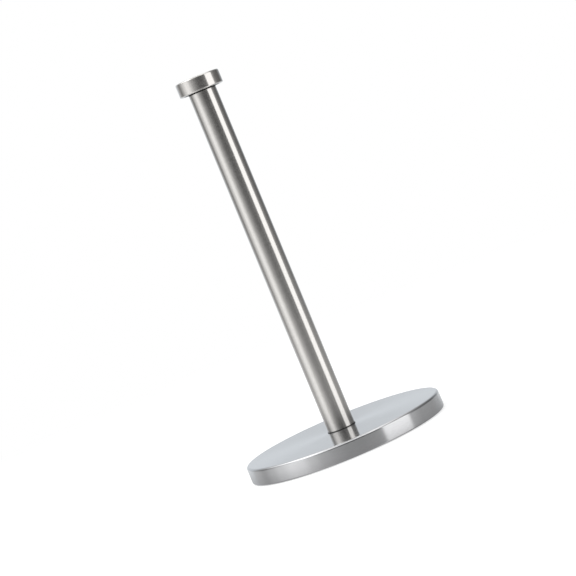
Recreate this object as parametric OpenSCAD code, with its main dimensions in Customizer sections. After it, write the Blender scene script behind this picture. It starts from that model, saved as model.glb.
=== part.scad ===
// Freestanding paper towel holder: a weighted round base, a tube that turns on
// two bushes round a fixed tie rod, and a screw-on cap.
// Origin: centre of the underside, where it stands. +Z runs up the pole.

/* [Overall] */
// Height from the counter to the top of the cap
total_h = 316; // [250:0.5:400]
// Outer diameter of the base
base_d = 165; // [120:0.5:220]
// Height from the counter to the top of the base
base_h = 14.4; // [12:0.1:24]
// Outer diameter of the pole tube
tube_d = 22.9; // [20:0.1:32]
// Outer diameter of the cap
cap_d = 36.5; // [30:0.5:44]
// Height of the cap
cap_h = 11.4; // [10.5:0.1:18]

/* [Base cover] */
// Sheet thickness of the base cover
cover_wall = 0.8; // [0.5:0.1:1.2]
// Outer radius of the edge between the top and the skirt
cover_edge_r = 2; // [1.4:0.1:4]
// Outer radius of the hem at the foot of the skirt
cover_hem_r = 1.4; // [1.3:0.1:3]
// Gap between the counter and the foot of the skirt
cover_lift = 0.4; // [0.2:0.1:1.5]

/* [Underside] */
// Thickness of the closing plate
plate_t = 1.5; // [1:0.1:2.5]
// Thickness of the grip ring
grip_t = 2; // [1.6:0.1:3]
// Width of the grip ring
grip_w = 10; // [5:0.5:15]
// Distance from the rim of the closing plate to the grip ring
grip_inset = 2.5; // [1:0.5:6]
// Number of screws that hold the closing plate
screw_count = 3; // [3:1:6]
// Radius of the circle that the screws stand on
screw_ring_r = 42; // [25:1:45]
// Thread diameter of the screws
screw_d = 3; // [2.5:0.5:4]
// Length of a screw with its head
screw_len = 8; // [5:0.5:9]
// Depth of a screw's hole past its tip
screw_spare = 0.5; // [0.3:0.1:1]

/* [Ballast] */
// Gap between the ballast and the hem of the cover
ballast_gap = 0.8; // [0.3:0.1:2]
// Gap between the ballast and the top of the cover
ballast_top_gap = 0.5; // [0.2:0.1:1]
// Radius of the raised seat that the cover is clamped on
seat_r = 20; // [14:1:25]
// Corner radius of the casting
ballast_edge_r = 1; // [0.5:0.1:2]
// Room for a socket round the lower nut, in its pocket
pocket_room = 4; // [2:0.5:6]
// Room between the rod's lower end and the closing plate
pocket_spare = 0.2; // [0.1:0.1:1]

/* [Tie rod and nuts] */
// Thread diameter of the tie rod
rod_d = 8; // [6.5:0.1:9.6]
// Thread pitch of the tie rod
rod_pitch = 1.25; // [0.75:0.25:1.5]
// Distance across the flats of the nuts
nut_af = 13; // [12:0.5:14]
// Height of a thin nut
thin_nut_h = 4; // [3:0.5:4.5]
// Height of the full nut on the hub
full_nut_h = 6.5; // [5:0.5:8]
// Outer diameter of the washers
washer_d = 16; // [14:0.5:17]
// Thickness of the washers
washer_t = 1.6; // [1:0.1:2]
// Thickness of the toothed lock washer
lock_washer_t = 0.8; // [0.5:0.1:1]
// Number of teeth on the lock washer
lock_teeth = 10; // [8:1:16]
// How far the teeth stand out past the nut's corners
lock_tooth_over = 0.3; // [0.1:0.1:0.6]
// How far the rod stands out of the lower nut
rod_stub = 0.4; // [0.1:0.1:1]

/* [Pole] */
// Wall thickness of the pole tube
tube_wall = 1; // [0.8:0.1:1.4]
// Diameter of the hub that the lower bush turns on
hub_d = 15; // [13:0.5:15.5]
// Height of the hub
hub_h = 28; // [20:1:50]
// Thickness of the gasket under the hub
gasket_t = 0.5; // [0.3:0.1:1]
// How far the gasket is set in from the outside of the hub
gasket_inset = 0.2; // [0.1:0.1:1]
// Thickness of the lower bush's flange, which shows as a thin dark line at the foot
foot_flange_t = 0.5; // [0.4:0.1:2]
// How far the flange stands out past the outside of the tube
foot_flange_over = 0.4; // [0:0.1:1]
// Length of the lower bush inside the tube
lower_bush_len = 22; // [12:1:40]
// Length of the upper bush inside the tube
upper_bush_len = 20; // [14:1:40]

/* [Cap] */
// Sheet thickness of the cap's shell
cap_wall = 0.8; // [0.5:0.1:1]
// Outer radius of the cap's top edge
cap_edge_r = 1.3; // [1.2:0.1:3]
// Outer radius of the cap's lower edge
cap_lip_r = 1.1; // [1.1:0.1:2]
// Width of the lip rolled in under the cap
cap_lip_w = 3; // [2:0.5:4]
// How far the washer under the cap stands out past the tube
cap_washer_over = 0.2; // [0:0.1:2]
// Thickness of the washer under the cap
cap_washer_t = 0.6; // [0.5:0.1:1.5]
// Outer diameter of the threaded insert
insert_d = 12; // [11:0.5:13]
// Diameter of the insert's flange, which keeps the washer on the cap
insert_flange_d = 14.8; // [14:0.1:15]
// Thickness of the insert's flange
insert_flange_t = 0.6; // [0.4:0.1:1]
// Length of thread that the rod has inside the insert
thread_hold = 8.4; // [6:0.1:8.5]
// Length of the insert that is left above the rod
insert_spare = 0.6; // [0.2:0.1:1]

/* [Fits] */
// Radial clearance of a running fit
run_fit = 0.06; // [0.02:0.01:0.1]
// Radial clearance of a thread that is drawn as a plain cylinder
thread_fit = 0.05; // [0.02:0.01:0.1]
// Radial clearance of a plain hole round the rod
hole_fit = 0.3; // [0.1:0.1:0.5]
// Radial clearance between pieces that turn past each other
turn_gap = 0.4; // [0.3:0.1:1]
// End play between faces that turn past each other
end_play = 0.2; // [0.1:0.05:0.5]

/* [Hidden] */
$fn = 96;

over = 1;              // how far a cut runs past the face it opens
rod_r = rod_d / 2;
hex_r = nut_af / 2 / cos(30);
nut_chamfer = 0.6;
rod_chamfer = 0.8;

// Heights up the base, from the counter
plate_z = grip_t;
ballast_z = plate_z + plate_t;
cover_roof_z = base_h - cover_wall;
ballast_top_z = cover_roof_z - ballast_top_gap;
pocket_roof_z = ballast_z + pocket_spare + rod_stub + thin_nut_h + lock_washer_t + washer_t;
rod_washer_z = pocket_roof_z - washer_t;
lock_washer_z = rod_washer_z - lock_washer_t;
rod_nut_z = lock_washer_z - thin_nut_h;
rod_z = rod_nut_z - rod_stub;

// Radii of the base
base_r = base_d / 2;
pocket_r = max(washer_d / 2, hex_r) + pocket_room;
lock_r = hex_r + lock_tooth_over;
mouth_r = base_r - cover_hem_r;
ballast_r = mouth_r - ballast_gap;
grip_r = ballast_r - grip_inset;

// Heights at the foot of the pole
hub_z = base_h + gasket_t;
hub_nut_z = hub_z + hub_h;
tube_z = base_h + foot_flange_t;

// Heights at the cap, from the top down
cap_z = total_h - cap_h;
cap_washer_z = cap_z - cap_washer_t;
tube_top_z = cap_washer_z - end_play;
insert_z = cap_washer_z - end_play / 2 - insert_flange_t;
top_nut_z = insert_z - thin_nut_h;
top_washer_z = top_nut_z - washer_t;
bush_floor_z = top_washer_z - end_play;
rod_top_z = insert_z + thread_hold;
insert_top_z = rod_top_z + insert_spare;

// Radii of the pole and the cap
tube_r = tube_d / 2;
bush_r = tube_r - tube_wall;
hub_r = hub_d / 2;
cap_r = cap_d / 2;
cap_bore_r = cap_r - cap_wall;
cap_mouth_r = cap_r - cap_lip_w;
insert_r = insert_d / 2;
insert_flange_r = insert_flange_d / 2;
cap_washer_r = tube_r + cap_washer_over;
nut_room_r = max(washer_d / 2, hex_r, insert_flange_r) + turn_gap;

// Half outline of a disc whose outer corners are rounded
module disc_outline(r, h, top_r, low_r) {
    translate([0, low_r]) square([r, h - low_r - top_r]);
    translate([0, h - top_r]) square([r - top_r, top_r]);
    translate([r - top_r, h - top_r]) circle(top_r);
    square([r - low_r, low_r]);
    translate([r - low_r, low_r]) circle(low_r);
}

// Disc with rounded corners, standing at height z
module rounded_disc(r, z, h, top_r, low_r) {
    translate([0, 0, z]) rotate_extrude() disc_outline(r, h, top_r, low_r);
}

// Cylinder between two heights
module rod_between(r, z0, z1) {
    translate([0, 0, z0]) cylinder(r = r, h = z1 - z0);
}

// Flat ring between two heights
module ring(outer_r, inner_r, z0, z1) {
    difference() {
        rod_between(outer_r, z0, z1);
        rod_between(inner_r, z0 - over, z1 + over);
    }
}

// Hexagon nut with turned-off corners, standing at height z
module hex_nut(z, h) {
    difference() {
        intersection() {
            translate([0, 0, z]) cylinder(r = hex_r, h = h, $fn = 6);
            union() {
                translate([0, 0, z]) cylinder(r1 = hex_r - nut_chamfer, r2 = hex_r, h = nut_chamfer);
                rod_between(hex_r, z + nut_chamfer, z + h - nut_chamfer);
                translate([0, 0, z + h - nut_chamfer])
                    cylinder(r1 = hex_r, r2 = hex_r - nut_chamfer, h = nut_chamfer);
            }
        }
        rod_between(rod_r + thread_fit, z - over, z + h + over);
    }
}

module at_screws() {
    for (i = [0 : screw_count - 1])
        rotate(360 * i / screw_count) translate([screw_ring_r, 0, 0]) children();
}

// Drawn sheet cover, open below, its skirt ending in a small turned-in hem
module base_cover() {
    color("lightsteelblue") difference() {
        rounded_disc(base_r, cover_lift, base_h - cover_lift, cover_edge_r, cover_hem_r);
        rounded_disc(base_r - cover_wall, cover_lift + cover_wall, cover_roof_z - cover_lift - cover_wall,
            cover_edge_r - cover_wall, cover_hem_r - cover_wall);
        rod_between(mouth_r, cover_lift - over, cover_lift + cover_wall + over);
        rod_between(rod_r + hole_fit, cover_roof_z - over, base_h + over);
    }
}

module ballast_disc() {
    color("dimgray") difference() {
        union() {
            rounded_disc(ballast_r, ballast_z, ballast_top_z - ballast_z, ballast_edge_r, ballast_edge_r);
            rod_between(seat_r, ballast_top_z - over, cover_roof_z);
        }
        rod_between(rod_r + hole_fit, ballast_z - over, cover_roof_z + over);
        rod_between(pocket_r, ballast_z - over, pocket_roof_z);
        at_screws() rod_between(screw_d / 2 + thread_fit, ballast_z - over, plate_z + screw_len + screw_spare);
    }
}

module bottom_plate() {
    color("darkslategray") difference() {
        rod_between(ballast_r, plate_z, ballast_z);
        at_screws() translate([0, 0, plate_z - thread_fit])
            cylinder(r1 = screw_d + thread_fit * 2, r2 = screw_d / 2 + thread_fit, h = screw_d / 2 + thread_fit);
        at_screws() rod_between(screw_d / 2 + thread_fit, plate_z, ballast_z + over);
    }
}

// Countersunk screws with a cross recess
module plate_screws() {
    slot_w = screw_d * 0.28;
    slot_len = screw_d * 1.1;
    slot_depth = screw_d * 0.3;
    color("silver") at_screws() difference() {
        union() {
            translate([0, 0, plate_z]) cylinder(r1 = screw_d, r2 = screw_d / 2, h = screw_d / 2);
            rod_between(screw_d / 2, plate_z + screw_d / 2, plate_z + screw_len);
        }
        for (turn = [0, 90])
            rotate(turn) translate([-slot_len / 2, -slot_w / 2, plate_z - over])
                cube([slot_len, slot_w, slot_depth + over]);
    }
}

module grip_ring() {
    color("black") ring(grip_r, grip_r - grip_w, 0, grip_t);
}

module tie_rod() {
    color("gainsboro") {
        translate([0, 0, rod_z]) cylinder(r1 = rod_r - rod_chamfer, r2 = rod_r, h = rod_chamfer);
        rod_between(rod_r, rod_z + rod_chamfer, rod_top_z - rod_chamfer);
        translate([0, 0, rod_top_z - rod_chamfer])
            cylinder(r1 = rod_r, r2 = rod_r - rod_chamfer, h = rod_chamfer);
    }
}

module rod_nut() { color("silver") hex_nut(rod_nut_z, thin_nut_h); }

module rod_washer() {
    color("silver") ring(washer_d / 2, rod_r + hole_fit, rod_washer_z, rod_washer_z + washer_t);
}

// Washer with teeth cut into its rim
module lock_washer() {
    tooth_depth = 1.6;
    notch_w = 1.2;
    color("gray") difference() {
        ring(lock_r, rod_r + hole_fit, lock_washer_z, lock_washer_z + lock_washer_t);
        for (i = [0 : lock_teeth - 1])
            rotate(360 * i / lock_teeth)
                translate([lock_r - tooth_depth, -notch_w / 2, lock_washer_z - over])
                    cube([tooth_depth + over, notch_w, lock_washer_t + 2 * over]);
    }
}

module hub_gasket() {
    color("black") ring(hub_r - gasket_inset, rod_r + hole_fit, base_h, hub_z);
}

module foot_hub() {
    color("silver") ring(hub_r, rod_r + hole_fit, hub_z, hub_nut_z);
}

module hub_nut() { color("silver") hex_nut(hub_nut_z, full_nut_h); }

module top_washer() {
    color("silver") ring(washer_d / 2, rod_r + hole_fit, top_washer_z, top_nut_z);
}

module top_lock_nut() { color("silver") hex_nut(top_nut_z, thin_nut_h); }

module pole_tube() {
    color("lightgray") ring(tube_r, bush_r, tube_z, tube_top_z);
}

// Pressed into the tube's foot; its flange runs on the base
module lower_bush() {
    color("black") difference() {
        union() {
            rod_between(tube_r + foot_flange_over, base_h, tube_z);
            rod_between(bush_r, base_h, tube_z + lower_bush_len);
        }
        rod_between(hub_r + run_fit, base_h - over, tube_z + lower_bush_len + over);
    }
}

// Pressed into the tube's top; it turns on the rod, round the nut and washer
module upper_bush() {
    color("black") difference() {
        rod_between(bush_r, tube_top_z - upper_bush_len, tube_top_z);
        rod_between(rod_r + run_fit, tube_top_z - upper_bush_len - over, tube_top_z);
        rod_between(nut_room_r, bush_floor_z, tube_top_z + over);
    }
}

module cap_washer() {
    color("black") ring(cap_washer_r, insert_r + turn_gap, cap_washer_z, cap_z);
}

// Drawn cup turned upside down, its edge rolled in under the core
module cap_shell() {
    color("lightgray") difference() {
        rounded_disc(cap_r, cap_z, cap_h, cap_edge_r, cap_lip_r);
        rounded_disc(cap_bore_r, cap_z + cap_wall, cap_h - 2 * cap_wall,
            cap_edge_r - cap_wall, cap_lip_r - cap_wall);
        rod_between(cap_mouth_r, cap_z - over, cap_z + cap_wall + over);
    }
}

module cap_core() {
    color("dimgray") difference() {
        union() {
            rounded_disc(cap_bore_r, cap_z + cap_wall, cap_h - 2 * cap_wall,
                cap_edge_r - cap_wall, cap_lip_r - cap_wall);
            rod_between(cap_mouth_r, cap_z, cap_z + cap_wall + over);
        }
        rod_between(insert_r, cap_z - over, insert_top_z);
    }
}

// Threaded insert; its flange seats on the top nut and keeps the washer on
module cap_insert() {
    color("goldenrod") difference() {
        union() {
            rod_between(insert_flange_r, insert_z, insert_z + insert_flange_t);
            rod_between(insert_r, insert_z, insert_top_z);
        }
        rod_between(rod_r + thread_fit, insert_z - over, insert_top_z + over);
    }
}

base_cover();
ballast_disc();
bottom_plate();
plate_screws();
grip_ring();
tie_rod();
rod_nut();
lock_washer();
rod_washer();
hub_gasket();
foot_hub();
hub_nut();
top_washer();
top_lock_nut();
pole_tube();
lower_bush();
upper_bush();
cap_washer();
cap_shell();
cap_core();
cap_insert();
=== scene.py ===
import math

import bmesh
import bpy
from mathutils import Matrix, Vector


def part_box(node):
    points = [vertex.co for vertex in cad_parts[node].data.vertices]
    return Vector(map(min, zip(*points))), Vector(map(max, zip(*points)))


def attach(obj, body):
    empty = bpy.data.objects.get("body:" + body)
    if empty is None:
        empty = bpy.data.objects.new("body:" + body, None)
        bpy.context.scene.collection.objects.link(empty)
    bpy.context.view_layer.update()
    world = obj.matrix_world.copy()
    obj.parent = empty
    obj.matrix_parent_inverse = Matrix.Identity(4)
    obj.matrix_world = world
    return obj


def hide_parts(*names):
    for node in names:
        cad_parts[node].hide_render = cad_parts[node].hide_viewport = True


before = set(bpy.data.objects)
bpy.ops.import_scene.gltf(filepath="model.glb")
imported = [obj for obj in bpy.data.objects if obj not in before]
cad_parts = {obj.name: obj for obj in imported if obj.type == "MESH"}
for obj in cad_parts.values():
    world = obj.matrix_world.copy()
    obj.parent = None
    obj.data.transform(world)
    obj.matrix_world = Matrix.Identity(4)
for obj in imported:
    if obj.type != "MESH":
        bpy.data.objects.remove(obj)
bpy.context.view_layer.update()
print("frame loaded:", len(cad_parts), "nodes")

mm = 0.001
fullTurn = 2 * math.pi
upAxis = (0, 0, 1)
weld = 1e-6  # points closer than this are one point
onPlane = 1e-7  # how near a cutting plane a point counts as on it


def outerRadius(node):
    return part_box(node)[1].x


def lowZ(node):
    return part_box(node)[0].z


def highZ(node):
    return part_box(node)[1].z


cameraSet = {
    "lens": 133.2,  # mm
    "sensor": 36,
    "distance": 1.691,  # from the pole's axis
    "height": 0.2412,
    "clip": (0.05, 20),
    "pitch": 3.628,  # degrees below the horizon
    "aside": 0.0031,  # how far the view axis passes the pole's axis
    "roll": 22.50,  # degrees, which leans the pole to the left
}


def makeCamera():
    data = bpy.data.cameras.new("camera")
    data.lens = cameraSet["lens"]
    data.sensor_width = cameraSet["sensor"]
    data.dof.use_dof = False
    data.clip_start, data.clip_end = cameraSet["clip"]
    camera = bpy.data.objects.new("camera", data)
    bpy.context.scene.collection.objects.link(camera)
    pitch = math.radians(cameraSet["pitch"])
    stand = Vector((0, -cameraSet["distance"], cameraSet["height"]))
    target = Vector((cameraSet["aside"], 0, stand.z - cameraSet["distance"] * math.tan(pitch)))
    facing = (target - stand).to_track_quat("-Z", "Y").to_matrix().to_4x4()
    roll = Matrix.Rotation(math.radians(-cameraSet["roll"]), 4, "Z")
    camera.matrix_world = Matrix.Translation(stand) @ facing @ roll
    bpy.context.scene.camera = camera


makeCamera()
print("camera placed")


class Signal:
    # a socket that can be used in sums and products

    def __init__(self, shader, socket):
        self.shader = shader
        self.socket = socket

    def maths(self, operation, *values):
        return self.shader.add("ShaderNodeMath", {"operation": operation}, dict(enumerate(values)))

    def __add__(self, other):
        return self.maths("ADD", self, other)

    def __radd__(self, other):
        return self.maths("ADD", other, self)

    def __sub__(self, other):
        return self.maths("SUBTRACT", self, other)

    def __rsub__(self, other):
        return self.maths("SUBTRACT", other, self)

    def __mul__(self, other):
        return self.maths("MULTIPLY", self, other)

    def __rmul__(self, other):
        return self.maths("MULTIPLY", other, self)

    def __truediv__(self, other):
        return self.maths("DIVIDE", self, other)

    def __pow__(self, other):
        return self.maths("POWER", self, other)


class Shader:
    # one node tree, filled from an empty start

    def __init__(self, tree):
        self.tree = tree
        tree.nodes.clear()

    def add(self, kind, settings=None, inputs=None, output=0):
        node = self.tree.nodes.new(kind)
        for key, value in (settings or {}).items():
            if key == "stops":
                self.setStops(node.color_ramp, value)
            else:
                setattr(node, key, value)
        for key, value in (inputs or {}).items():
            if isinstance(value, Signal):
                self.tree.links.new(value.socket, node.inputs[key])
            else:
                node.inputs[key].default_value = value
        return Signal(self, node.outputs[output]) if len(node.outputs) else node

    def setStops(self, ramp, stops):
        ramp.interpolation = "EASE"
        while len(ramp.elements) > 1:
            ramp.elements.remove(ramp.elements[-1])
        ramp.elements[0].position = stops[0][0]
        ramp.elements[0].color = (*stops[0][1], 1)
        for position, colour in stops[1:]:
            ramp.elements.new(position).color = (*colour, 1)

    def split(self, vector):
        axes = self.tree.nodes.new("ShaderNodeSeparateXYZ")
        self.tree.links.new(vector.socket, axes.inputs[0])
        return [Signal(self, axes.outputs[i]) for i in range(3)]

    def join(self, x, y, z):
        return self.add("ShaderNodeCombineXYZ", None, {0: x, 1: y, 2: z})

    def smooth(self, value, start, end):
        ranges = {"Value": value, "From Min": start, "From Max": end}
        return self.add("ShaderNodeMapRange", {"interpolation_type": "SMOOTHSTEP"}, ranges)

    def noise(self, vector, scale, detail=2.0, rough=0.5):
        values = {"Vector": vector, "Scale": scale, "Detail": detail, "Roughness": rough}
        return self.add("ShaderNodeTexNoise", {"noise_dimensions": "3D"}, values)

    def mixColour(self, factor, first, second):
        # a Mix node keeps its colours at inputs 6 and 7, and the mixed colour at output 2
        ends = {0: factor, 6: first, 7: second}
        return self.add("ShaderNodeMix", {"data_type": "RGBA"}, ends, 2)

    def bump(self, height, depth):
        values = {"Height": height, "Distance": depth, "Strength": 1.0}
        return self.add("ShaderNodeBump", None, values)

    def place(self):
        return self.add("ShaderNodeTexCoord", None, None, "Object")


def newMaterial(name, fixed, build):
    # fixed: constants on the surface shader; build: returns its varying sockets
    material = bpy.data.materials.new(name)
    material.use_nodes = True
    shader = Shader(material.node_tree)
    surface = dict(fixed)
    surface.update(build(shader))
    principled = shader.add("ShaderNodeBsdfPrincipled", None, surface)
    shader.add("ShaderNodeOutputMaterial", None, {"Surface": principled})
    return material


def grey(level, warm=0.0):
    return (level * (1 + warm), level, level * (1 - warm), 1)


steelSet = {
    "linePitch": 0.30 * mm,  # spacing of the finest brush lines
    "lineLength": 14 * mm,
    "lineDepth": 0.0012 * mm,
    "lineRough": 0.10,  # how much the lines change the roughness
    "streakPitch": 2.4 * mm,
    "streakStretch": 0.3,  # a streak changes this much slower along its length than a line
    "streakRough": 0.06,
    "streakShare": 0.5,  # of the tone and of the relief
    "smudgeSize": 30 * mm,
    "smudgeFrom": (0.45, 0.75),
    "smudgeRough": 0.02,
    "grooveTone": 0.86,
}


def brushedSteel(name, tone, roughness, anisotropy, depthShare=1.0):
    def build(s):
        spot = s.place()
        x, y, z = s.split(spot)
        radius = (x * x + y * y) ** 0.5
        across = radius - z  # runs over a flat top and down a side alike
        along = 1 / steelSet["lineLength"]
        slow = steelSet["streakStretch"]
        fine = s.join(across / steelSet["linePitch"], x * along, y * along)
        wide = s.join(across / steelSet["streakPitch"], x * along * slow, y * along * slow)
        lines = s.noise(fine, 1.0, detail=3.0, rough=0.7)
        streaks = s.noise(wide, 1.0, detail=3.0, rough=0.65)
        smudges = s.noise(spot, 1 / steelSet["smudgeSize"], detail=3.0, rough=0.55)
        wipe = s.smooth(smudges, *steelSet["smudgeFrom"])
        share = steelSet["streakShare"]
        dark = tuple(channel * steelSet["grooveTone"] for channel in tone)
        rough = roughness + (lines - 0.5) * steelSet["lineRough"]
        rough = rough + (streaks - 0.5) * steelSet["streakRough"] + wipe * steelSet["smudgeRough"]
        return {
            "Base Color": s.mixColour(streaks * share + lines * (1 - share), (*dark, 1), (*tone, 1)),
            "Roughness": rough,
            "Normal": s.bump(lines + streaks * share, steelSet["lineDepth"] * depthShare),
        }

    fixed = {"Metallic": 1.0, "Anisotropic": anisotropy, "Anisotropic Rotation": 0.25}
    return newMaterial(name, fixed, build)


plasticSet = {
    "grain": 0.35 * mm,
    "grainDepth": 0.012 * mm,
    "flow": 9 * mm,  # size of the flow marks
    "flowTones": (0.75, 1.3),
    "flowRough": 0.12,
}


def mouldedPlastic(name, level, roughness):
    def build(s):
        spot = s.place()
        grain = s.noise(spot, 1 / plasticSet["grain"], detail=3.0, rough=0.6)
        flow = s.noise(spot, 1 / plasticSet["flow"], 2.0)
        dark, light = plasticSet["flowTones"]
        return {
            "Base Color": s.mixColour(flow, grey(level * dark), grey(level * light)),
            "Roughness": roughness + (flow - 0.5) * plasticSet["flowRough"],
            "Normal": s.bump(grain, plasticSet["grainDepth"]),
        }

    return newMaterial(name, {"Metallic": 0.0, "Specular IOR Level": 0.45}, build)


rubberSet = {
    "grain": 0.22 * mm,
    "grainDepth": 0.03 * mm,
    "rough": 0.72,
    "tone": 0.018,
    "dust": 12 * mm,  # size of the dusty patches
    "dustFrom": (0.45, 0.8),
    "dustTone": 0.07,
    "dustWarm": 0.04,
    "dustShare": 0.5,
    "dustRough": 0.15,
}


def softRubber(name):
    def build(s):
        spot = s.place()
        grain = s.noise(spot, 1 / rubberSet["grain"], detail=4.0, rough=0.7)
        patches = s.noise(spot, 1 / rubberSet["dust"], detail=4.0, rough=0.6)
        dust = s.smooth(patches, *rubberSet["dustFrom"])
        dusty = grey(rubberSet["dustTone"], rubberSet["dustWarm"])
        return {
            "Base Color": s.mixColour(dust * rubberSet["dustShare"], grey(rubberSet["tone"]), dusty),
            "Roughness": rubberSet["rough"] + dust * rubberSet["dustRough"],
            "Normal": s.bump(grain, rubberSet["grainDepth"]),
        }

    return newMaterial(name, {"Metallic": 0.0, "Specular IOR Level": 0.3}, build)


ironSet = {
    "sand": 0.9 * mm,  # grain of the casting
    "sandDepth": 0.18 * mm,
    "sandRough": 0.3,
    "rough": 0.62,
    "metal": 0.35,
    "patches": 14 * mm,
    "primer": (0.025, 0.06),
    "rust": (0.10, 0.045, 0.025, 1),
    "rustFrom": (0.6, 0.8),  # in the patches
    "rustSand": (0.45, 0.7),  # and on the grains
    "rustShare": 0.5,
    "rustDull": 0.3,
}


def castIron(name):
    def build(s):
        spot = s.place()
        sand = s.noise(spot, 1 / ironSet["sand"], detail=5.0, rough=0.65)
        patches = s.noise(spot, 1 / ironSet["patches"], detail=3.0, rough=0.6)
        rust = s.smooth(patches, *ironSet["rustFrom"]) * s.smooth(sand, *ironSet["rustSand"])
        dark, light = ironSet["primer"]
        primer = s.mixColour(patches, grey(dark), grey(light))
        return {
            "Base Color": s.mixColour(rust * ironSet["rustShare"], primer, ironSet["rust"]),
            "Roughness": ironSet["rough"] + (sand - 0.5) * ironSet["sandRough"],
            "Metallic": ironSet["metal"] - rust * ironSet["rustDull"],
            "Normal": s.bump(sand, ironSet["sandDepth"]),
        }

    return newMaterial(name, {"Specular IOR Level": 0.4}, build)


coatSet = {
    "peel": 0.7 * mm,  # size of the orange peel
    "peelDepth": 0.035 * mm,
    "peelRough": 0.2,
    "rough": 0.48,
    "rub": 20 * mm,  # size of the rubbed patches
    "rubFrom": (0.5, 0.8),
    "rubShine": 0.08,
    "tones": (0.022, 0.045),  # untouched and rubbed
}


def powderCoat(name):
    def build(s):
        spot = s.place()
        peel = s.noise(spot, 1 / coatSet["peel"], detail=2.0, rough=0.5)
        patches = s.noise(spot, 1 / coatSet["rub"], detail=4.0, rough=0.6)
        rub = s.smooth(patches, *coatSet["rubFrom"])
        untouched, rubbed = coatSet["tones"]
        rough = coatSet["rough"] + (peel - 0.5) * coatSet["peelRough"]
        return {
            "Base Color": s.mixColour(rub, grey(untouched), grey(rubbed)),
            "Roughness": rough - rub * coatSet["rubShine"],
            "Normal": s.bump(peel, coatSet["peelDepth"]),
        }

    return newMaterial(name, {"Metallic": 0.0, "Coat Weight": 0.15, "Coat Roughness": 0.3}, build)


platedSet = {
    "scratch": 0.5 * mm,
    "scratchFlat": 6,  # how much closer together the scratches lie up and down
    "scratchRough": 0.16,
    "cloud": 5 * mm,
    "cloudRough": 0.12,
    "cloudTone": 0.78,
}


def platedMetal(name, tone, roughness, scratchDepth=0.010 * mm):
    def build(s):
        spot = s.place()
        x, y, z = s.split(spot)
        flat = s.join(x, y, z * platedSet["scratchFlat"])
        fine = s.noise(flat, 1 / platedSet["scratch"], detail=3.0, rough=0.6)
        cloud = s.noise(spot, 1 / platedSet["cloud"], detail=3.0, rough=0.55)
        dull = tuple(channel * platedSet["cloudTone"] for channel in tone)
        rough = roughness + (fine - 0.5) * platedSet["scratchRough"]
        return {
            "Base Color": s.mixColour(cloud, (*dull, 1), (*tone, 1)),
            "Roughness": rough + (cloud - 0.5) * platedSet["cloudRough"],
            "Normal": s.bump(fine, scratchDepth),
        }

    return newMaterial(name, {"Metallic": 1.0}, build)


# Tone, roughness and then what sets the finish apart, by the record's material slot.
finishes = {
    "brushed_base": brushedSteel("brushedBase", (0.64, 0.645, 0.655), 0.16, 0.85),
    "brushed_pole": brushedSteel("brushedPole", (0.74, 0.723, 0.70), 0.22, 0.9, 1.2),
    "brushed_cap": brushedSteel("brushedCap", (0.74, 0.72, 0.695), 0.22, 0.9, 1.2),
    "cast_ballast": castIron("castBallast"),
    "black_plate": powderCoat("blackPlate"),
    "grip_rubber": softRubber("gripRubber"),
    "black_nylon": mouldedPlastic("blackNylon", 0.022, 0.42),
    "zinc_fastener": platedMetal("zincPlate", (0.60, 0.61, 0.63), 0.30),
    "spring_steel": platedMetal("bluedSteel", (0.20, 0.21, 0.25), 0.34),
    "turned_steel": platedMetal("turnedSteel", (0.56, 0.56, 0.57), 0.26, 0.006 * mm),
    "insert_brass": platedMetal("machinedBrass", (0.72, 0.52, 0.24), 0.27),
}
print("finishes made:", len(finishes))


def lathe(outline, steps, closed=True):
    # a half section of (radius, height) points, turned round the upright axis
    bm = bmesh.new()
    corners = [bm.verts.new((radius, 0, height)) for radius, height in outline]
    ends = corners[1:] + corners[:1] if closed else corners[1:]
    section = [bm.edges.new(pair) for pair in zip(corners, ends)]
    bmesh.ops.spin(bm, geom=corners + section, cent=(0, 0, 0), axis=upAxis,
                   angle=fullTurn, steps=steps, use_merge=True, use_duplicate=False)
    bmesh.ops.remove_doubles(bm, verts=bm.verts, dist=weld)
    bmesh.ops.recalc_face_normals(bm, faces=bm.faces)
    return bm


def ringEdges(bm, radius, height, reach=0.01 * mm):
    # the edges of one circle round the upright axis
    def near(vert):
        return abs(vert.co.xy.length - radius) < reach and abs(vert.co.z - height) < reach

    return [edge for edge in bm.edges if near(edge.verts[0]) and near(edge.verts[1])]


def roundEdges(bm, edges, size, segments):
    bmesh.ops.bevel(bm, geom=edges, offset=size, offset_type="OFFSET", affect="EDGES",
                    segments=segments, profile=0.5, material=-1)


def turned(outline, steps, rounds=(), closed=True):
    # a lathe shape whose named corners are rounded: (radius, height, size, segments)
    bm = lathe(outline, steps, closed)
    for radius, height, size, segments in rounds:
        roundEdges(bm, ringEdges(bm, radius, height), size, segments)
    return bm


def washerRing(outer, inner, low, high, soften, steps, segments=3):
    # a flat ring with all four edges rounded
    outline = [(outer, low), (outer, high), (inner, high), (inner, low)]
    return turned(outline, steps, [(r, z, soften, segments) for r, z in outline])


def rimAt(bm, height):
    # open edges that lie level at one height
    def level(edge):
        return all(abs(vert.co.z - height) < weld for vert in edge.verts)

    return [edge for edge in bm.edges if edge.is_boundary and level(edge)]


def addCircle(bm, radius, height, segments, centre=(0, 0)):
    place = Matrix.Translation((*centre, height))
    made = bmesh.ops.create_circle(bm, cap_ends=False, radius=radius, segments=segments,
                                   matrix=place)
    return list({edge for vert in made["verts"] for edge in vert.link_edges})


def openPatch(bm, centre, reach, height):
    # takes a level face out round a point and gives back the edge of the gap
    def inside(face):
        middle = face.calc_center_median()
        return abs(middle.z - height) < weld and (middle.xy - Vector(centre)).length < reach

    bmesh.ops.delete(bm, geom=[face for face in bm.faces if inside(face)], context="FACES")
    return rimAt(bm, height)


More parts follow.
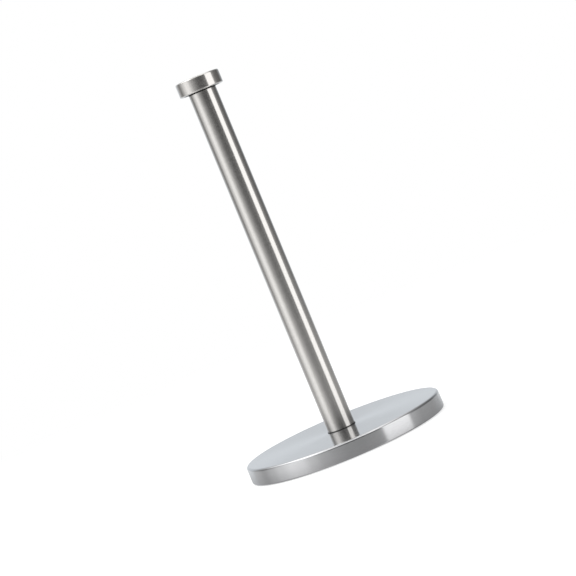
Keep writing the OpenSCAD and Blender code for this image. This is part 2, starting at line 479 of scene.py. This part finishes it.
def drill(bm, centre, reach, levels, through, segments=32):
    # levels are (radius, height) along the hole, the first in the face that it opens
    rim = openPatch(bm, centre, reach, levels[0][1])
    for radius, height in levels:
        ring = addCircle(bm, radius, height, segments, centre)
        bmesh.ops.bridge_loops(bm, edges=rim + ring)
        rim = ring
    if through:
        bmesh.ops.bridge_loops(bm, edges=openPatch(bm, centre, reach, levels[-1][1]))
    else:
        bmesh.ops.edgeloop_fill(bm, edges=rim)


def pullOut(bm, faces):
    # extrudes faces as one region and gives back the points of its far side
    grown = bmesh.ops.extrude_face_region(bm, geom=faces)
    bmesh.ops.delete(bm, geom=[face for face in faces if face.is_valid], context="FACES")
    return [part for part in grown["geom"] if isinstance(part, bmesh.types.BMVert)]


threadSet = {
    "flank": (0.10, 0.42),  # where a flank starts and ends, as parts of the pitch
    "spareTurns": 2,  # cut away again at the ends
    "snap": 0.006 * mm,  # how near a cut end a point is put level with it
    "merge": 0.005 * mm,
}


def addThread(bm, crest, root, pitch, low, high, lead, steps):
    # a zigzag carried round and up, cut level at both ends; lead is the chamfer at each end
    turns = math.ceil((high - low) / pitch) + threadSet["spareTurns"]
    foot, brow = threadSet["flank"]
    zigzag = [(root, 0), (root, foot), (crest, brow), (crest, 1 - brow), (root, 1 - foot), (root, 1)]
    start = low - pitch
    corners = [bm.verts.new((radius, 0, start + share * pitch)) for radius, share in zigzag]
    section = [bm.edges.new(pair) for pair in zip(corners, corners[1:])]
    others = set(bm.verts) - set(corners)
    bmesh.ops.spin(bm, geom=corners + section, cent=(0, 0, 0), axis=upAxis,
                   dvec=(0, 0, pitch / steps), angle=fullTurn * turns, steps=steps * turns,
                   use_merge=False, use_duplicate=False)

    def made():
        return [vert for vert in bm.verts if vert not in others]

    bmesh.ops.remove_doubles(bm, verts=made(), dist=weld)
    for height, side in ((low, -1), (high, 1)):
        near = {part for vert in made() for part in (vert, *vert.link_edges, *vert.link_faces)}
        bmesh.ops.bisect_plane(bm, geom=list(near), dist=onPlane, plane_co=(0, 0, height),
                               plane_no=(0, 0, side), clear_outer=True, clear_inner=False)
    for vert in made():
        for height in (low, high):
            if abs(vert.co.z - height) < threadSet["snap"]:
                vert.co.z = height
    bmesh.ops.remove_doubles(bm, verts=made(), dist=threadSet["merge"])
    for vert in made():
        bottom = crest - max(0, lead[0] - (vert.co.z - low))
        top = crest - max(0, lead[1] - (high - vert.co.z))
        limit = min(bottom, top)
        if vert.co.xy.length > limit:
            vert.co.xy *= limit / vert.co.xy.length


ribSet = {
    "near": 0.03 * mm,  # how far the middle of a wall's face may be from the wall
    "lean": 0.1,  # how far a wall's face may lean
}


def raiseStrips(bm, wall, low, high, rise, steps, every, first=0):
    # lifts one strip in every few of a round wall, as a rib along it
    strips = []
    for face in bm.faces:
        spot = face.calc_center_median()
        turn = math.atan2(spot.y, spot.x) % fullTurn
        level = abs(face.normal.z) > ribSet["lean"]
        away = abs(spot.xy.length - wall) > ribSet["near"]
        chosen = int(turn / fullTurn * steps) % every == first
        if chosen and low < spot.z < high and not level and not away:
            strips.append(face)
    outwards = (wall + rise) / wall
    bmesh.ops.scale(bm, verts=pullOut(bm, strips), vec=(outwards, outwards, 1))


def finishPiece(bm, name, node, body, slot, sharpAngle=40):
    # sharpAngle: degrees between two faces from which their edge stays crisp
    bmesh.ops.recalc_face_normals(bm, faces=bm.faces)
    mesh = bpy.data.meshes.new(name)
    bm.to_mesh(mesh)
    bm.free()
    mesh.shade_smooth()
    mesh.set_sharp_from_angle(angle=math.radians(sharpAngle))
    piece = bpy.data.objects.new(name, mesh)
    bpy.context.scene.collection.objects.link(piece)
    weighted = piece.modifiers.new("weightedNormals", "WEIGHTED_NORMAL")
    weighted.keep_sharp = True
    mesh.materials.append(finishes[slot])
    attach(piece, body)
    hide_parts(node)
    print(name, "made:", len(mesh.polygons), "faces")


coverSet = {
    "wall": 0.8 * mm,
    "edge": 2.0 * mm,
    "hem": 1.4 * mm,
    "hemRound": 1.26 * mm,
    "hemInside": 0.48 * mm,
    "hole": 4.3 * mm,
    "holeRound": 0.2 * mm,
    "middleRing": 0.5,  # an extra ring on the top, as a part of the radius
    "steps": 288,
}


def makeBaseCover():
    radius = outerRadius("base_cover")
    foot = lowZ("base_cover")
    top = highZ("base_cover")
    wall = coverSet["wall"]
    hole = coverSet["hole"]
    mouth = radius - coverSet["hem"]
    roof = top - wall
    outline = [
        (hole, top), (radius * coverSet["middleRing"], top), (radius, top), (radius, foot),
        (mouth, foot), (mouth, foot + wall), (radius - wall, foot + wall), (radius - wall, roof),
        (hole, roof),
    ]
    rounds = [
        (radius, top, coverSet["edge"], 10),
        (radius, foot, coverSet["hemRound"], 8),
        (radius - wall, foot + wall, coverSet["hemInside"], 4),
        (radius - wall, roof, coverSet["edge"] - wall, 6),
        (hole, top, coverSet["holeRound"], 2),
        (hole, roof, coverSet["holeRound"], 2),
    ]
    bm = turned(outline, coverSet["steps"], rounds)
    finishPiece(bm, "baseCover", "base_cover", "base", "brushed_base")


screwSet = {
    "count": 3,
    "head": 3.0 * mm,  # radius
    "headHeight": 1.5 * mm,
    "headRim": 0.15 * mm,
    "headSoften": 0.075 * mm,
    "headFit": 0.1 * mm,
    "shank": 1.5 * mm,  # radius over the thread
    "root": 1.2 * mm,
    "pitch": 0.5 * mm,
    "tip": 0.5 * mm,
    "neckLead": 0.3 * mm,
    "neckGap": 0.2 * mm,  # between the head and the start of the thread
    "crossWidth": 0.84 * mm,
    "crossDepth": 0.9 * mm,
    "crossTaper": 0.72,
    "crossCorner": 1.2,  # corner cells lie further out than this many widths, side cells don't
    "turns": (25, 70),  # degrees that the second and third screw are turned
    "holeFit": 0.05 * mm,
    "holeSpare": 0.5 * mm,
    "steps": 24,
}


def screwSpots():
    # the middle of each screw, worked out from how far the first one reaches
    ring = outerRadius("plate_screws") - screwSet["head"]
    turns = [fullTurn * i / screwSet["count"] for i in range(screwSet["count"])]
    return [(ring * math.cos(turn), ring * math.sin(turn)) for turn in turns]


def makePlateScrews():
    low = lowZ("plate_screws")
    neck = low + screwSet["headHeight"]
    tip = highZ("plate_screws")
    start = neck + screwSet["neckGap"]
    leads = (screwSet["neckLead"], screwSet["tip"])
    bm = bmesh.new()
    addThread(bm, screwSet["shank"], screwSet["root"], screwSet["pitch"], start, tip, leads,
              screwSet["steps"])
    bmesh.ops.edgeloop_fill(bm, edges=rimAt(bm, tip))
    rim = rimAt(bm, start)
    levels = [
        (screwSet["root"], neck), (screwSet["head"], low + screwSet["headRim"]),
        (screwSet["head"] - screwSet["headSoften"], low),
    ]
    for radius, height in levels:
        ring = addCircle(bm, radius, height, screwSet["steps"])
        bmesh.ops.bridge_loops(bm, edges=rim + ring)
        rim = ring
    width = screwSet["crossWidth"]
    across = 3  # cells each way, of which the corners go
    grid = bmesh.ops.create_grid(bm, x_segments=across, y_segments=across, size=width * across / 2,
                                 matrix=Matrix.Translation((0, 0, low)))
    cells = {face for vert in grid["verts"] for face in vert.link_faces}
    reach = width * screwSet["crossCorner"]
    corners = [face for face in cells if face.calc_center_median().xy.length > reach]
    bmesh.ops.delete(bm, geom=corners, context="FACES")
    floor = pullOut(bm, [face for face in cells if face.is_valid])
    bmesh.ops.translate(bm, verts=floor, vec=(0, 0, screwSet["crossDepth"]))
    taper = screwSet["crossTaper"]
    bmesh.ops.scale(bm, verts=floor, vec=(taper, taper, 1))
    edge = [e for e in rimAt(bm, low) if e not in rim]
    bmesh.ops.bridge_loops(bm, edges=rim + edge)
    first = list(bm.verts) + list(bm.edges) + list(bm.faces)
    spots = screwSpots()
    for spot, turn in zip(spots[1:], screwSet["turns"]):
        copy = bmesh.ops.duplicate(bm, geom=first)
        verts = [part for part in copy["geom"] if isinstance(part, bmesh.types.BMVert)]
        bmesh.ops.rotate(bm, verts=verts, cent=(0, 0, 0),
                         matrix=Matrix.Rotation(math.radians(turn), 3, "Z"))
        bmesh.ops.translate(bm, verts=verts, vec=(*spot, 0))
    verts = [part for part in first if isinstance(part, bmesh.types.BMVert)]
    bmesh.ops.translate(bm, verts=verts, vec=(*spots[0], 0))
    finishPiece(bm, "plateScrews", "plate_screws", "base", "zinc_fastener", 35)


def screwField(outer, inner):
    # radii across a level face, close together where the screws pass through it
    ring = outerRadius("plate_screws") - screwSet["head"]
    step = screwSet["head"]
    return [inner] + [ring + step * i for i in range(-2, 3)] + [outer]


plateSet = {"edge": 0.3 * mm, "steps": 96, "patch": 5.2 * mm}


def makeBottomPlate():
    radius = outerRadius("bottom_plate")
    low = lowZ("bottom_plate")
    high = highZ("bottom_plate")
    across = screwField(radius, 0)
    outline = [(r, low) for r in across] + [(r, high) for r in reversed(across)]
    rounds = [(radius, low, plateSet["edge"], 3), (radius, high, plateSet["edge"], 3)]
    bm = turned(outline, plateSet["steps"], rounds, closed=False)
    levels = [
        (screwSet["head"] + screwSet["headFit"], low),
        (screwSet["shank"] + screwSet["holeFit"], high),
    ]
    for spot in screwSpots():
        drill(bm, spot, plateSet["patch"], levels, through=True)
    finishPiece(bm, "bottomPlate", "bottom_plate", "base", "black_plate")


ballastSet = {
    "edge": 1.0 * mm,
    "seat": 20 * mm,  # radius of the raised seat
    "seatStep": 0.5 * mm,
    "seatRound": 0.2 * mm,
    "hole": 4.3 * mm,
    "pocketRoom": 4 * mm,
    "pocketRound": 0.4 * mm,
    "steps": 96,
}


def makeBallastDisc():
    radius = outerRadius("ballast_disc")
    low = lowZ("ballast_disc")
    top = highZ("ballast_disc")
    shoulder = top - ballastSet["seatStep"]
    pocket = outerRadius("rod_washer") + ballastSet["pocketRoom"]
    pocketTop = highZ("rod_washer")
    hole = ballastSet["hole"]
    seat = ballastSet["seat"]
    outline = [(hole, top), (seat, top), (seat, shoulder), (radius, shoulder)]
    outline += [(r, low) for r in reversed(screwField(radius, pocket))]
    outline += [(pocket, pocketTop), (hole, pocketTop)]
    rounds = [
        (radius, shoulder, ballastSet["edge"], 5), (radius, low, ballastSet["edge"], 5),
        (seat, top, ballastSet["seatRound"], 2), (pocket, low, ballastSet["pocketRound"], 3),
    ]
    bm = turned(outline, ballastSet["steps"], rounds)
    bore = screwSet["shank"] + screwSet["holeFit"]
    end = highZ("plate_screws") + screwSet["holeSpare"]
    for spot in screwSpots():
        drill(bm, spot, plateSet["patch"], [(bore, low), (bore, end)], through=False)
    finishPiece(bm, "ballastDisc", "ballast_disc", "base", "cast_ballast")


gripSet = {
    "width": 10 * mm,
    "edge": 0.45 * mm,
    "grooves": 3,
    "grooveWidth": 0.9 * mm,
    "grooveFloor": 0.45 * mm,
    "grooveDepth": 0.5 * mm,
    "steps": 192,
}


def makeGripRing():
    outer = outerRadius("grip_ring")
    inner = outer - gripSet["width"]
    low = lowZ("grip_ring")
    high = highZ("grip_ring")
    outline = [(inner, low)]
    half = gripSet["grooveWidth"] / 2
    flat = gripSet["grooveFloor"] / 2
    floor = low + gripSet["grooveDepth"]
    for i in range(gripSet["grooves"]):
        middle = inner + gripSet["width"] * (i + 1) / (gripSet["grooves"] + 1)
        outline += [(middle - half, low), (middle - flat, floor)]
        outline += [(middle + flat, floor), (middle + half, low)]
    outline += [(outer, low), (outer, high), (inner, high)]
    rounds = [(r, z, gripSet["edge"], 4) for r in (outer, inner) for z in (low, high)]
    bm = turned(outline, gripSet["steps"], rounds)
    finishPiece(bm, "gripRing", "grip_ring", "base", "grip_rubber", 30)


rodSet = {
    "root": 3.35 * mm,  # radius at the bottom of the thread
    "pitch": 1.25 * mm,
    "chamfer": 0.8 * mm,
    "runOut": 0.9 * mm,
    "lowerThreadOver": 2.5 * mm,  # how far the lower thread goes past the hub's nut
    "steps": 32,
}


def makeTieRod():
    radius = outerRadius("tie_rod")
    low = lowZ("tie_rod")
    high = highZ("tie_rod")
    lowerEnd = highZ("hub_nut") + rodSet["lowerThreadOver"]
    upperStart = lowZ("top_washer")
    root = rodSet["root"]
    chamfer = rodSet["chamfer"]
    bm = bmesh.new()
    addThread(bm, radius, root, rodSet["pitch"], low, lowerEnd, (chamfer, 0), rodSet["steps"])
    addThread(bm, radius, root, rodSet["pitch"], upperStart, high, (0, chamfer), rodSet["steps"])
    bmesh.ops.edgeloop_fill(bm, edges=rimAt(bm, low))
    bmesh.ops.edgeloop_fill(bm, edges=rimAt(bm, high))
    runOut = rodSet["runOut"]
    lower = addCircle(bm, radius, lowerEnd + runOut, rodSet["steps"])
    upper = addCircle(bm, radius, upperStart - runOut, rodSet["steps"])
    bmesh.ops.bridge_loops(bm, edges=rimAt(bm, lowerEnd) + lower)
    bmesh.ops.bridge_loops(bm, edges=lower + upper)
    bmesh.ops.bridge_loops(bm, edges=upper + rimAt(bm, upperStart))
    finishPiece(bm, "tieRod", "tie_rod", "base", "zinc_fastener", 35)


nutSet = {
    "sides": 6,
    "chamferIn": 0.78 * mm,
    "chamferUp": 0.45 * mm,
    "bore": 4.05 * mm,
    "threadDepth": 0.45 * mm,
    "pitch": 1.25 * mm,
    "lead": 0.5 * mm,  # countersink at each end of the bore
    "steps": 96,
}


def threadedBore(bore, low, high):
    # (radius, height) points down a threaded hole, countersunk at both ends
    lead = nutSet["lead"]
    deep = bore + nutSet["threadDepth"]
    turns = max(1, int((high - low - 2 * lead) / nutSet["pitch"]))
    pitch = (high - low - 2 * lead) / turns
    points = [(deep, high), (bore, high - lead)]
    for i in range(turns):
        points.append((deep, high - lead - pitch * (i + 0.5)))
        points.append((bore, high - lead - pitch * (i + 1)))
    return points + [(deep, low)]


def makeNut(node, name):
    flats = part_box(node)[1].y  # the flats face along Y
    side = fullTurn / nutSet["sides"]
    corner = flats / math.cos(side / 2)
    low = lowZ(node)
    high = highZ(node)
    shoulder = corner - nutSet["chamferIn"]
    rise = nutSet["chamferUp"]
    outline = [(shoulder, low), (corner, low + rise), (corner, high - rise), (shoulder, high)]
    bm = lathe(outline + threadedBore(nutSet["bore"], low, high), nutSet["steps"])
    for i in range(nutSet["sides"]):
        turn = side * (i + 0.5)
        facing = Vector((math.cos(turn), math.sin(turn), 0))
        everything = list(bm.verts) + list(bm.edges) + list(bm.faces)
        bmesh.ops.bisect_plane(bm, geom=everything, dist=onPlane, plane_co=facing * flats,
                               plane_no=facing, clear_outer=True, clear_inner=False)
        bmesh.ops.edgeloop_fill(bm, edges=[edge for edge in bm.edges if edge.is_boundary])
    finishPiece(bm, name, node, "base", "zinc_fastener", 25)


washerSet = {"hole": 4.3 * mm, "edge": 0.22 * mm, "steps": 96}


def makeWasher(node, name):
    bm = washerRing(outerRadius(node), washerSet["hole"], lowZ(node), highZ(node),
                    washerSet["edge"], washerSet["steps"])
    finishPiece(bm, name, node, "base", "zinc_fastener")


lockSet = {
    "hole": 4.3 * mm,
    "toothDepth": 1.6 * mm,
    "teeth": 10,
    "toothFrom": (0.2, 0.8),  # where a tooth starts and ends, as parts of its sector
    "stepsPerTooth": 5,
    "thickness": 0.5 * mm,
    "twist": 9,  # degrees
}


def makeLockWasher():
    radius = outerRadius("lock_washer")
    middle = (lowZ("lock_washer") + highZ("lock_washer")) / 2
    half = lockSet["thickness"] / 2
    body = radius - lockSet["toothDepth"]
    hole = lockSet["hole"]
    steps = lockSet["teeth"] * lockSet["stepsPerTooth"]
    low = middle - half
    high = middle + half
    bm = lathe([(body, low), (body, high), (hole, high), (hole, low)], steps)
    sector = fullTurn / lockSet["teeth"]
    start, end = lockSet["toothFrom"]
    teeth = {}
    for face in bm.faces:
        spot = face.calc_center_median()
        turn = math.atan2(spot.y, spot.x) % fullTurn
        share = turn % sector / sector
        outer = spot.xy.length > (body + hole) / 2 and abs(spot.z - middle) < half / 2
        if outer and start < share < end:
            teeth.setdefault(int(turn / sector), []).append(face)
    for number, faces in sorted(teeth.items()):
        tips = pullOut(bm, faces)
        outwards = radius / body
        bmesh.ops.scale(bm, verts=tips, vec=(outwards, outwards, 1))
        turn = sector * (number + 0.5)
        ray = Vector((math.cos(turn), math.sin(turn), 0))
        twist = Matrix.Rotation(math.radians(lockSet["twist"]), 3, ray)
        bmesh.ops.rotate(bm, verts=tips, cent=(0, 0, middle), matrix=twist)
    finishPiece(bm, "lockWasher", "lock_washer", "base", "spring_steel", 30)


hubSet = {
    "hole": 4.3 * mm,
    "chamfer": 0.6 * mm,
    "boreChamfer": 0.36 * mm,
    "grooves": 2,  # for grease
    "grooveDepth": 0.35 * mm,
    "grooveWidth": 0.9 * mm,
    "grooveFloor": 0.36 * mm,
    "steps": 96,
}


def makeFootHub():
    radius = outerRadius("foot_hub")
    low = lowZ("foot_hub")
    high = highZ("foot_hub")
    hole = hubSet["hole"]
    half = hubSet["grooveWidth"] / 2
    flat = hubSet["grooveFloor"] / 2
    deep = radius - hubSet["grooveDepth"]
    outline = [(radius, low)]
    for i in range(hubSet["grooves"]):
        middle = low + (high - low) * (i + 1) / (hubSet["grooves"] + 1)
        outline += [(radius, middle - half), (deep, middle - flat)]
        outline += [(deep, middle + flat), (radius, middle + half)]
    outline += [(radius, high), (hole, high), (hole, low)]
    rounds = [(radius, z, hubSet["chamfer"], 1) for z in (low, high)]
    rounds += [(hole, z, hubSet["boreChamfer"], 1) for z in (low, high)]
    bm = turned(outline, hubSet["steps"], rounds)
    finishPiece(bm, "footHub", "foot_hub", "base", "turned_steel", 30)


gasketSet = {"hole": 4.3 * mm, "edge": 0.15 * mm, "steps": 96}


def makeHubGasket():
    bm = washerRing(outerRadius("hub_gasket"), gasketSet["hole"], lowZ("hub_gasket"),
                    highZ("hub_gasket"), gasketSet["edge"], gasketSet["steps"])
    finishPiece(bm, "hubGasket", "hub_gasket", "base", "grip_rubber")


tubeSet = {"endRound": 0.18 * mm, "steps": 128}


def makePoleTube():
    outer = outerRadius("pole_tube")
    bm = washerRing(outer, outerRadius("upper_bush"), lowZ("pole_tube"), highZ("pole_tube"),
                    tubeSet["endRound"], tubeSet["steps"])
    finishPiece(bm, "poleTube", "pole_tube", "pole", "brushed_pole")


bushSet = {
    "relief": 0.12 * mm,  # how far the plain wall stands back from the ribs
    "ribs": 12,
    "stepsPerRib": 8,
    "runFit": 0.06 * mm,
    "lead": 0.8 * mm,
    "leadIn": 0.4 * mm,
    "boreLead": 0.24 * mm,
    "edge": 0.12 * mm,
    "roomEdge": 0.24 * mm,
    "turnGap": 0.4 * mm,
    "endPlay": 0.2 * mm,
}


def finishBush(outline, rounds, wall, low, high, name, node):
    steps = bushSet["ribs"] * bushSet["stepsPerRib"]
    bm = turned(outline, steps, rounds)
    raiseStrips(bm, wall, low, high, bushSet["relief"], steps, bushSet["stepsPerRib"])
    finishPiece(bm, name, node, "pole", "black_nylon", 30)


def makeLowerBush():
    flange = outerRadius("lower_bush")
    wall = outerRadius("upper_bush") - bushSet["relief"]
    bore = outerRadius("foot_hub") + bushSet["runFit"]
    low = lowZ("lower_bush")
    step = lowZ("pole_tube")
    high = highZ("lower_bush")
    lead = bushSet["lead"]
    outline = [
        (flange, low), (flange, step), (wall, step), (wall, step + lead), (wall, high - lead),
        (wall - bushSet["leadIn"], high), (bore + bushSet["boreLead"], high), (bore, high - lead),
        (bore, low),
    ]
    rounds = [(flange, z, bushSet["edge"], 3) for z in (low, step)]
    finishBush(outline, rounds, wall, step + lead, high - lead, "lowerBush", "lower_bush")


def makeUpperBush():
    wall = outerRadius("upper_bush") - bushSet["relief"]
    bore = outerRadius("tie_rod") + bushSet["runFit"]
    room = max(outerRadius("top_washer"), outerRadius("top_lock_nut")) + bushSet["turnGap"]
    low = lowZ("upper_bush")
    high = highZ("upper_bush")
    floor = lowZ("top_washer") - bushSet["endPlay"]
    lead = bushSet["lead"]
    outline = [
        (bore, low), (wall - bushSet["leadIn"], low), (wall, low + lead), (wall, high - lead),
        (wall, high), (room, high), (room, floor), (bore, floor),
    ]
    edge = bushSet["roomEdge"]
    rounds = [
        (room, high, edge, 3), (wall, high, bushSet["edge"], 3), (room, floor, edge, 3),
        (bore, floor, edge, 2), (bore, low, edge, 2),
    ]
    finishBush(outline, rounds, wall, low + lead, high - lead, "upperBush", "upper_bush")


capSet = {
    "wall": 0.8 * mm,
    "edge": 1.3 * mm,
    "lowEdge": 1.1 * mm,
    "lip": 3 * mm,
    "lipEdge": 0.2 * mm,
    "washerHole": 6.4 * mm,
    "washerEdge": 0.2 * mm,
    "steps": 160,
}


def makeCapWasher():
    bm = washerRing(outerRadius("cap_washer"), capSet["washerHole"], lowZ("cap_washer"),
                    highZ("cap_washer"), capSet["washerEdge"], capSet["steps"])
    finishPiece(bm, "capWasher", "cap_washer", "cap_seat", "black_nylon")


def makeCapShell():
    radius = outerRadius("cap_shell")
    foot = lowZ("cap_shell")
    top = highZ("cap_shell")
    wall = capSet["wall"]
    mouth = radius - capSet["lip"]
    outline = [
        (0, top), (radius, top), (radius, foot), (mouth, foot), (mouth, foot + wall),
        (radius - wall, foot + wall), (radius - wall, top - wall), (0, top - wall),
    ]
    rounds = [
        (radius, top, capSet["edge"], 8),
        (radius, foot, capSet["lowEdge"], 8),
        (radius - wall, foot + wall, capSet["lowEdge"] - wall, 4),
        (radius - wall, top - wall, capSet["edge"] - wall, 4),
        (mouth, foot, capSet["lipEdge"], 3),
    ]
    bm = turned(outline, capSet["steps"], rounds, closed=False)
    finishPiece(bm, "capShell", "cap_shell", "cap", "brushed_cap")


coreSet = {
    "bore": 6.0 * mm,
    "grooveIn": 12.9 * mm,  # ring groove in the underside, outside the washer
    "grooveOut": 14.1 * mm,
    "grooveDepth": 0.6 * mm,
    "soften": 0.15 * mm,
}


def makeCapCore():
    wall = capSet["wall"]
    radius = outerRadius("cap_shell") - wall
    mouth = outerRadius("cap_shell") - capSet["lip"]
    low = lowZ("cap_core")
    shelf = low + wall
    top = highZ("cap_core")
    bore = coreSet["bore"]
    end = highZ("cap_insert")
    deep = low + coreSet["grooveDepth"]
    grooveOut = coreSet["grooveOut"]
    grooveIn = coreSet["grooveIn"]
    outline = [
        (0, top), (radius, top), (radius, shelf), (mouth, shelf), (mouth, low),
        (grooveOut, low), (grooveOut, deep), (grooveIn, deep), (grooveIn, low),
        (bore, low), (bore, end), (0, end),
    ]
    rounds = [
        (radius, top, capSet["edge"] - wall, 4), (radius, shelf, capSet["lowEdge"] - wall, 4),
        (grooveOut, low, coreSet["soften"], 2), (grooveIn, low, coreSet["soften"], 2),
    ]
    bm = turned(outline, capSet["steps"], rounds, closed=False)
    finishPiece(bm, "capCore", "cap_core", "cap", "black_nylon")


insertSet = {
    "radius": 6.0 * mm,
    "flangeHeight": 0.6 * mm,
    "knurlDepth": 0.25 * mm,
    "knurls": 48,
    "neck": 1.26 * mm,  # plain wall above the flange
    "plainBand": 0.9 * mm,  # between the two knurled bands
    "flangeEdge": 0.12 * mm,
}


def makeCapInsert():
    flange = outerRadius("cap_insert")
    low = lowZ("cap_insert")
    high = highZ("cap_insert")
    step = low + insertSet["flangeHeight"]
    radius = insertSet["radius"]
    root = radius - insertSet["knurlDepth"]
    start = step + insertSet["neck"]
    middle = (start + high) / 2
    band = insertSet["plainBand"] / 2
    bands = [(start, middle - band), (middle + band, high - band)]
    outline = [(flange, low), (flange, step), (root, step)]
    for bottom, top in bands:
        outline += [(root, bottom), (root, top)]
    outline += [(root, high)] + threadedBore(nutSet["bore"], low, high)
    steps = insertSet["knurls"] * 2
    bm = turned(outline, steps, [(flange, z, insertSet["flangeEdge"], 2) for z in (low, step)])
    for bottom, top in bands:
        raiseStrips(bm, root, bottom, top, insertSet["knurlDepth"], steps, 2, 1)
    finishPiece(bm, "capInsert", "cap_insert", "cap", "insert_brass", 25)


makeBaseCover()
makeBallastDisc()
makeBottomPlate()
makePlateScrews()
makeGripRing()
makeTieRod()
for node, name in (("rod_nut", "rodNut"), ("hub_nut", "hubNut"), ("top_lock_nut", "topLockNut")):
    makeNut(node, name)
makeLockWasher()
makeWasher("rod_washer", "rodWasher")
makeWasher("top_washer", "topWasher")
makeHubGasket()
makeFootHub()
print("base built")

makePoleTube()
makeLowerBush()
makeUpperBush()
print("pole built")

makeCapWasher()
makeCapShell()
makeCapCore()
makeCapInsert()
print("cap built")


studioSet = {
    "floorRadius": 1.6,
    "floorSteps": 96,
    "floorFade": (0.35, 1.2),  # where the lit floor passes into plain white
    "floorTone": 0.60,
    "floorGlow": 0.6,
    "floorHush": 0.69,  # how much of the floor the steel leaves out
    "floorPaintedShadow": 0.5,  # painted shadow: what is left of it beside the base, darker there as the steel sees it
    "floorPaintedShadowReach": 0.07,
    "domeFront": 0.26,  # brightness above the horizon, on the camera's side and beyond the pole
    "domeBack": 0.45,
    "domeTurn": (-0.45, 0.55),  # where the one passes into the other
    "boxLevel": 2.2,  # the soft box overhead
    "boxSides": (-0.9, 0.6),  # where it ends, left and right, as parts of a unit sphere
    "boxDepth": (-0.75, 0.7),  # towards the camera and away from it
    "boxRise": (0.3, 0.5),  # how high it starts and is full
    "boxSoft": 0.3,
    "boxMiddle": 0.62,  # its brightness straight above, so that flat tops don't burn out
    "boxMiddleReach": (0.16, 0.52),
    "coolBehind": 0.045,  # how far the backdrop leans to blue
    "coolFrom": 140,  # degrees from straight ahead
    "domeFrom": 15,  # degrees above the horizon where the overhead light starts
    "domeTo": 55,
}

# Brightness round the horizon, by the angle from straight ahead; minus is left.
surround = [
    (-180, 0.80), (-150, 0.74), (-132, 0.42), (-116, 0.22), (-101, 0.52), (-88, 0.85), (-70, 1.2),
    (-57, 1.1), (-45, 0.70), (-30, 0.36), (-13, 0.17), (-2, 0.08), (14, 0.06), (28, 0.11), (40.5, 0.20),
    (43.5, 1.5), (77, 1.5), (82, 0.36), (100, 0.16), (125, 0.12), (145, 0.3), (162, 0.68), (180, 0.80),
]


def makeWorld():
    world = bpy.data.worlds.new("studio")
    world.use_nodes = True
    bpy.context.scene.world = world
    s = Shader(world.node_tree)
    x, y, z = s.split(s.add("ShaderNodeTexCoord", None, None, "Generated"))
    turn = x.maths("ARCTAN2", x, -1 * y) / fullTurn + 0.5
    stops = []
    for angle, level in surround:
        cool = studioSet["coolBehind"] if abs(angle) > studioSet["coolFrom"] else 0
        stops.append(((angle + 180) / 360, grey(level, -cool)[:3]))
    sides = s.add("ShaderNodeValToRGB", {"stops": stops}, {0: turn})
    domeEnds = [math.sin(math.radians(studioSet[end])) for end in ("domeFrom", "domeTo")]
    lift = s.smooth(z, *domeEnds)
    beyond = s.smooth(y, *studioSet["domeTurn"])
    dome = s.mixColour(beyond, grey(studioSet["domeFront"]), grey(studioSet["domeBack"]))
    box = s.smooth(z, *studioSet["boxRise"])
    for axis, (start, end) in ((x, studioSet["boxSides"]), (y, studioSet["boxDepth"])):
        soft = studioSet["boxSoft"]
        box = box * s.smooth(axis, start, start + soft) * s.smooth(axis, end, end - soft)
    outward = s.smooth((x * x + y * y) ** 0.5, *studioSet["boxMiddleReach"])
    lamp = s.mixColour(outward, grey(studioSet["boxMiddle"]), grey(studioSet["boxLevel"]))
    overhead = s.mixColour(box, dome, lamp)
    light = s.mixColour(lift, sides, overhead)
    seen = s.add("ShaderNodeLightPath", None, None, "Is Camera Ray")
    whole = s.mixColour(seen, light, grey(1.0))
    background = s.add("ShaderNodeBackground", None, {"Color": whole, "Strength": 1.0})
    s.add("ShaderNodeOutputWorld", None, {"Surface": background})


def makeFloor():
    bm = bmesh.new()
    bmesh.ops.create_circle(bm, cap_ends=True, radius=studioSet["floorRadius"],
                            segments=studioSet["floorSteps"])
    mesh = bpy.data.meshes.new("floor")
    bm.to_mesh(mesh)
    bm.free()
    floor = bpy.data.objects.new("floor", mesh)
    bpy.context.scene.collection.objects.link(floor)
    material = bpy.data.materials.new("paleFloor")
    material.use_nodes = True
    s = Shader(material.node_tree)
    x, y = s.split(s.place())[:2]
    radius = (x * x + y * y) ** 0.5
    away = s.smooth(radius, *studioSet["floorFade"])
    white = grey(1.0)
    lit = s.add("ShaderNodeBsdfDiffuse", None, {"Color": grey(studioSet["floorTone"])})
    glow = s.add("ShaderNodeEmission", None, {"Color": white, "Strength": studioSet["floorGlow"]})
    near = s.add("ShaderNodeAddShader", None, {0: lit, 1: glow})
    plain = s.add("ShaderNodeEmission", None, {"Color": white, "Strength": 1.0})
    both = s.add("ShaderNodeMixShader", None, {0: away, 1: near, 2: plain})
    glossy = s.add("ShaderNodeLightPath", None, None, "Is Glossy Ray")
    # painted shadow: glossy rays see the floor darker right beside the base, clearing over the reach
    rim = outerRadius("base_cover")
    paintedShadowFade = s.smooth(radius, rim, rim + studioSet["floorPaintedShadowReach"])
    paintedShadowTint = s.mixColour(paintedShadowFade, grey(studioSet["floorPaintedShadow"]), white)
    clear = s.add("ShaderNodeBsdfTransparent", None, {"Color": paintedShadowTint})
    hushed = glossy * studioSet["floorHush"]
    whole = s.add("ShaderNodeMixShader", None, {0: hushed, 1: both, 2: clear})
    below = s.add("ShaderNodeNewGeometry", None, None, "Backfacing")
    unseen = s.add("ShaderNodeBsdfTransparent")
    whole = s.add("ShaderNodeMixShader", None, {0: below, 1: whole, 2: unseen})
    s.add("ShaderNodeOutputMaterial", None, {"Surface": whole})
    mesh.materials.append(material)


makeWorld()
makeFloor()
bpy.context.scene.view_settings.view_transform = "Standard"
print("studio made")
